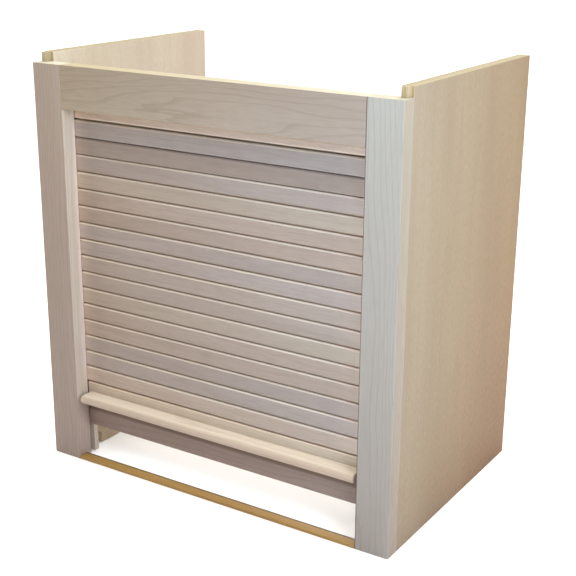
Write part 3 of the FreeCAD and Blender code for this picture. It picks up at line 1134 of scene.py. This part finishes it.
@dataclass
class Curtain:
    """Slats and the canvas that joins their backs, gathered up behind the rail as the door opens."""

    count: int = 19
    # Slat close under the rail: no painted highlight on its crest, and from there up no painted shade.
    rail_shade_from: int = 15
    half_length: float = 192.15
    thickness: float = 6.35
    chamfer: float = 1.3
    arris: float = 0.35
    crest: float = 0.3
    back_ease: float = 0.15
    end_ease: float = 0.4
    heart: Point = (18.0, 30.0)
    heart_step: Point = (7.0, -9.0)
    log_step: float = 410.0
    lean: float = 0.6
    gap: float = 0.9
    gather_top: float = 442.4
    bar_top: float = 92.0
    canvas_half: float = 175.15
    canvas_lap: float = 12.2
    canvas_thickness: float = 0.6
    # Places along a slat, and how many times paler it is there, to offset the shade beside the stiles.
    ends: tuple[Point, ...] = (
        (-184.2, 1.6), (-178.5, 1.34), (-172.8, 1.14), (-164.0, 1.0),
        (140.0, 1.0), (153.0, 1.1), (162.5, 1.24), (173.0, 1.43), (184.2, 1.6),
    )

    def tone(self, number: int) -> Tone:
        """Tint of one slat: ripped from mixed boards, so the tint changes every slat or two.

        Args:
            number: Place of the slat, from the lead bar up.

        Returns:
            Its tone.
        """
        mixed = (Tone.DRAB, Tone.DRAB, Tone.GREY, Tone.GREY, Tone.ROSE, Tone.ROSE, Tone.SAND)
        # Slat 17 shows as a strip under the rail and is painted paler, as painted light.
        special = {1: Tone.LINEN, 14: Tone.GREY, 15: Tone.MOCHA, 16: Tone.SLATE, 17: Tone.SALLOW}
        return special.get(number, mixed[number % len(mixed)])

    def back_edge(self, node: str) -> tuple[Vector, Vector]:
        """Lower and upper corner (y, z), in millimetres, of the back of one CAD slat.

        Args:
            node: CAD node of the slat.

        Returns:
            The two corners, along the curtain.
        """
        corners = [v.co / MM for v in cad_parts[node].data.vertices]
        places = {(round(corner.y, 3), round(corner.z, 3)) for corner in corners}
        points = [Vector(place) for place in places]
        middle = sum(points, Vector((0, 0))) / len(points)
        points.sort(key=lambda p: math.atan2(p.y - middle.y, p.x - middle.x))
        pairs = list(zip(points, points[1:] + points[:1]))
        start, end = max(pairs, key=lambda pair: (pair[0] - pair[1]).length)
        return (start, end) if start.y < end.y else (end, start)

    def share(self, z: float) -> float:
        """Share of the lift that a height takes, from none at the top to all at the lead bar."""
        return min(1.0, max(0.0, (self.gather_top - z) / (self.gather_top - self.bar_top)))

    def gather(self, piece: Object) -> None:
        """Bake the place of a slat or a strip of canvas into its mesh.

        Args:
            piece: The slat or strip.
        """
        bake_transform(piece)

    def slat(self, number: int, maple: Material) -> None:
        """Build one slat, chamfered along its face.

        Args:
            number: Place of the slat, from the lead bar up.
            maple: Its wood.
        """
        node = f"slat_{number:02d}"
        low, high = self.back_edge(node)
        up = (high - low).normalized()
        out = Vector((-up.y, up.x))
        width = (high - low).length
        shoulder = self.thickness - self.chamfer
        outline = [
            (0, 0, self.back_ease), (0, shoulder, self.arris), (self.chamfer, self.thickness, self.arris),
            (self.chamfer + self.crest, self.thickness, 0),
        ]
        outline += [(width - run, rise, ease) for run, rise, ease in reversed(outline)]
        corners = []
        for run, rise, ease in outline:
            place = low + up * run + out * rise
            corners.append(Corner(place.x, place.y, ease))
        stops = tuple(place for place, _ in self.ends)
        length = (-self.half_length, self.half_length)
        piece = lath(node + "_lath", corners[::-1], Run.X, length, self.end_ease, stops=stops)
        crest = self.chamfer + self.crest / 2
        glint = self.tone(number) if number == self.rail_shade_from else Tone.GLINT
        gap_shade = Tone.EDGE_SHADE if number < self.rail_shade_from else self.tone(number)

        def edge(point: Vector) -> Tone | None:
            """Painted highlight on the upper chamfer; painted shade on the lower and in gaps off the rail.

            Args:
                point: Place of a point of the board.

            Returns:
                Its tone, or None for the board's own.
            """
            place = Vector((point.y, point.z)) - low
            run, rise = place.dot(up), place.dot(out)
            if crest < run < width - crest:
                return None
            return glint if run > crest and rise > shoulder - self.arris else gap_shade

        # Neighbours come from different places in the log.
        beside = self.heart[0] + self.heart_step[0] * (number % 3)
        above = self.heart[1] + self.heart_step[1] * (number % 4)
        lean = self.lean * (number % 3 - 1)
        shift = self.log_step * number
        # The low end's tint is painted shade, darker and warmer towards each slat's left end.
        cut = Cut(Run.X, (beside, above), shift, lean, low_end=Tone.TEA, paler=self.ends)
        cut.mark(piece, self.tone(number), edge)
        dress(piece, maple)
        self.gather(piece)
        settle(piece, None, node)

    def canvas(self, duck: Material) -> None:
        """Build the cloth along the slats' backs, its foot lapped into the lead bar.

        Args:
            duck: The cloth's material.
        """
        line: list[Vector] = []
        for number in range(1, self.count + 1):
            low, high = self.back_edge(f"slat_{number:02d}")
            line += [high] if line else [Vector((low.x, low.y - self.gap / 2 - self.canvas_lap)), low, high]
        rows = []
        for i, here in enumerate(line):
            on = (line[min(i + 1, len(line) - 1)] - line[max(i - 1, 0)]).normalized()
            inward = here + Vector((on.y, -on.x)) * self.canvas_thickness
            corners = ((-1, here), (1, here), (1, inward), (-1, inward))
            rows.append([Run.X.point(side * self.canvas_half, place.x, place.y) for side, place in corners])
        strips = []
        length = 0.0
        for i, (row, after) in enumerate(zip(rows, rows[1:])):
            shape = bmesh.new()
            ends = [[shape.verts.new(place) for place in places] for places in (row, after)]
            band(shape, *ends)
            if i == 0:
                shape.faces.new(ends[0])
            if i == len(rows) - 2:
                shape.faces.new(ends[1])
            strip = shaded("canvas_backing_cloth", shape)
            step = (line[i + 1] - line[i]).length
            grain: list[float] = []
            for k, vertex in enumerate(strip.data.vertices):
                grain += [vertex.co.x, (length + step * (k // len(row))) * MM, 0]
            strip.data.attributes.new("grain", "FLOAT_VECTOR", "POINT").data.foreach_set("vector", grain)
            self.gather(strip)
            strips.append(strip)
            length += step
        piece = joined(strips)
        dress(piece, duck)
        settle(piece, None, "canvas_backing")
        log.info("canvas is %.0f by %.0f mm", 2 * self.canvas_half, length)

    def build(self, maple: Material, duck: Material) -> None:
        """Build the whole curtain.

        Args:
            maple: Wood of the slats.
            duck: Cloth of the backing.
        """
        for number in range(1, self.count + 1):
            self.slat(number, maple)
        self.canvas(duck)


@dataclass
class LeadBar:
    """Bottom bar of the curtain with its pull, the batten that holds the canvas, and the guide pins."""

    ease: float = 0.3
    batten_ease: float = 0.4
    nose_round: float = 4.6
    pull_ease: float = 0.2
    pull_end: float = 0.8
    top_share: float = 0.05
    nose_shade_share: float = 0.45
    cove_radius: float = 4.0
    cove_sink: float = 2.4
    cove_points: int = 9
    shadow_band: float = 12.0
    fade: float = 3.0
    foot_line: float = 1.0
    crest: float = 1.4

    def pull(self, maple: Material) -> None:
        """Build the full-width pull with its round nose and finger cove.

        Args:
            maple: Its wood.
        """
        node = "pull_moulding"
        y, z = reach(node, Run.Y), reach(node, Run.Z)
        middle = (y[0] + y[1]) / 2
        drop = self.cove_radius - self.cove_sink
        wide = math.acos(drop / self.cove_radius)
        corners = [Corner(y[0], z[0], self.nose_round)]
        for i in range(self.cove_points):
            angle = -wide + 2 * wide * i / (self.cove_points - 1)
            across, up = self.cove_radius * math.sin(angle), self.cove_radius * math.cos(angle)
            corners.append(Corner(middle + across, z[0] - drop + up, 0))
        corners += [Corner(y[1], height, self.pull_ease) for height in z]
        corners.append(Corner(y[0], z[1], self.nose_round))
        piece = lath(node + "_bar", corners, Run.X, reach(node, Run.X), self.pull_end)

        def edge(point: Vector) -> Tone | None:
            """Painted highlight on the top, painted shade on the front of the nose and under it.

            Args:
                point: Place of a point of the board.

            Returns:
                Its tone, or None for the board's own.
            """
            drop = (z[1] - point.z) / self.nose_round
            if drop < self.top_share:
                return Tone.IVORY
            return Tone.BLUSH if drop > self.nose_shade_share else None

        Cut(Run.X, heart=(24.0, 40.0), shift=2100.0, lean=0.5).mark(piece, Tone.CREAM, edge)
        dress(piece, maple)
        settle(piece, "tambour", node)

    def build(self, maple: Material, steel: Material) -> None:
        """Build the bar and what is fixed to it.

        Args:
            maple: Wood of the bar, batten and pull.
            steel: Metal of the guide pins.
        """
        low, high = reach("pull_moulding", Run.Z)
        foot, top = reach("lead_bar", Run.Z)
        crest = top - self.crest
        levels = (foot + self.foot_line, low - self.shadow_band - self.fade, low - self.shadow_band, low, high, crest)
        bar = eased_copy("lead_bar_board", "lead_bar", self.ease, levels=levels)

        def edge(point: Vector) -> Tone | None:
            """Painted highlight on the crest; below the pull, which hides the change, painted shade and
            shadow lines.

            Args:
                point: Place of a point of the board.

            Returns:
                Its tone, or None for the board's own.
            """
            if point.z > (low + high) / 2:
                return Tone.BUTTER if point.z > crest + NEAR else None
            in_shadow_line = point.z > low - self.shadow_band - self.fade / 2 or point.z < foot + self.foot_line / 2
            return Tone.SHADOW_LINE if in_shadow_line else Tone.HEART

        cut = Cut(Run.X, heart=(40.0, -30.0), shift=2700.0, lean=1.0, low_end=Tone.FAWN)
        cut.mark(bar, Tone.PEARL, edge)
        dress(bar, maple)
        settle(bar, "tambour", "lead_bar")
        batten = eased_copy("canvas_batten_strip", "canvas_batten", self.batten_ease)
        Cut(Run.X, heart=(14.0, 22.0), shift=3300.0).mark(batten, Tone.TAN)
        dress(batten, maple)
        settle(batten, "tambour", "canvas_batten")
        self.pull(maple)
        recoat("guide_pins", steel)


@dataclass
class Studio:
    """Pale floor, soft lights and the camera."""

    eye: Place = (683.73, -1061.12, 620.40)
    yaw: float = 32.413
    pitch: float = 18.252
    roll: float = 0.398
    focal_px: float = 1168.01
    frame_px: float = 576.0
    sensor: float = 36.0
    sight: float = 100000.0
    floor_half: float = 30000.0
    floor_drop: float = 0.3
    room: float = 0.38

    def camera(self) -> None:
        """Place the camera where the photograph was taken from."""
        lens = bpy.data.cameras.new("camera")
        lens.sensor_width = self.sensor
        lens.lens = self.sensor * self.focal_px / self.frame_px
        lens.clip_end = self.sight * MM
        camera = bpy.data.objects.new("camera", lens)
        placed = Matrix.Translation(Vector(self.eye) * MM)
        for angle, axis in ((self.yaw, "Z"), (90.0 - self.pitch, "X"), (self.roll, "Z")):
            placed = placed @ Matrix.Rotation(math.radians(angle), 4, axis)
        camera.matrix_world = placed
        bpy.context.scene.collection.objects.link(camera)
        bpy.context.scene.camera = camera

    def floor(self) -> None:
        """Lay a plain pale floor."""
        half = self.floor_half
        shape = bmesh.new()
        places = ((-half, -half), (half, -half), (half, half), (-half, half))
        shape.faces.new([shape.verts.new(Vector((x, y, -self.floor_drop)) * MM) for x, y in places])
        floor = shaded("floor", shape)
        dress(floor, FLOOR.material())

    def light(self, name: str, kind: Lamp, place: Place, width: float, energy: float, colour: str) -> None:
        """Hang one soft light, turned to the middle of the part.

        Args:
            name: Name of the light.
            kind: Far or near.
            place: Where it hangs from the middle of the part; a far light takes only its direction.
            width: Width of a far light in the sky, in degrees, or of a near one's face.
            energy: Watts per square metre of a far light, or watts of a near one.
            colour: sRGB hex colour.
        """
        lamp = bpy.data.lights.new(name, kind.value)
        lamp.energy = energy
        lamp.color = linear(colour)[:3]
        if kind is Lamp.FAR:
            lamp.angle = math.radians(width)
        else:
            lamp.shape = "DISK"
            lamp.size = width * MM
        hung = bpy.data.objects.new(name, lamp)
        hung.location = (Vector(cad_box[0]) + Vector(cad_box[1])) / 2 + Vector(place) * MM
        hung.rotation_euler = Vector(place).to_track_quat("Z", "Y").to_euler()
        bpy.context.scene.collection.objects.link(hung)

    def build(self) -> None:
        """Set up the whole studio."""
        self.camera()
        self.floor()
        self.light("ceiling", Lamp.FAR, (-0.05, -0.2, 1.0), width=50.0, energy=2.38, colour="#FFF8EC")
        self.light("side", Lamp.FAR, (1.0, -0.25, 0.15), width=50.0, energy=0.67, colour="#FFF0DC")
        self.light("behind", Lamp.FAR, (0.0, 0.8, 0.8), width=30.0, energy=2.0, colour="#FFFFFF")
        self.light("lamp", Lamp.NEAR, (1000.0, -650.0, 566.4), width=600.0, energy=7.6, colour="#E8F0FF")
        world = bpy.data.worlds.new("soft_room")
        world.use_nodes = True
        world.node_tree.nodes.clear()
        sky = add(world.node_tree, "Background", {"Color": linear("#FFFFFF"), "Strength": self.room})
        add(world.node_tree, "OutputWorld", {"Surface": sky.outputs[0]})
        bpy.context.scene.world = world
        bpy.context.scene.view_settings.view_transform = "Standard"


def main() -> None:
    """Build the studio and every sub-assembly."""
    logging.basicConfig(level=logging.INFO)
    Studio().build()
    maple, steel = FRAME_MAPLE.material(), ZINC.material()
    FaceFrame().build(maple, SILL_WOOD.material(), BEECH.material())
    SidePanels().build(PANEL_VENEER.material(), PANEL_CORE.material(), PINE.material())
    Tracks().build(maple, GUIDE_PLY.material())
    Curtain().build(SLAT_MAPLE.material(), DUCK.material())
    LeadBar().build(maple, steel)
    for screws in SCREWS:
        screws.build(steel)


if __name__ == "__main__":
    main()
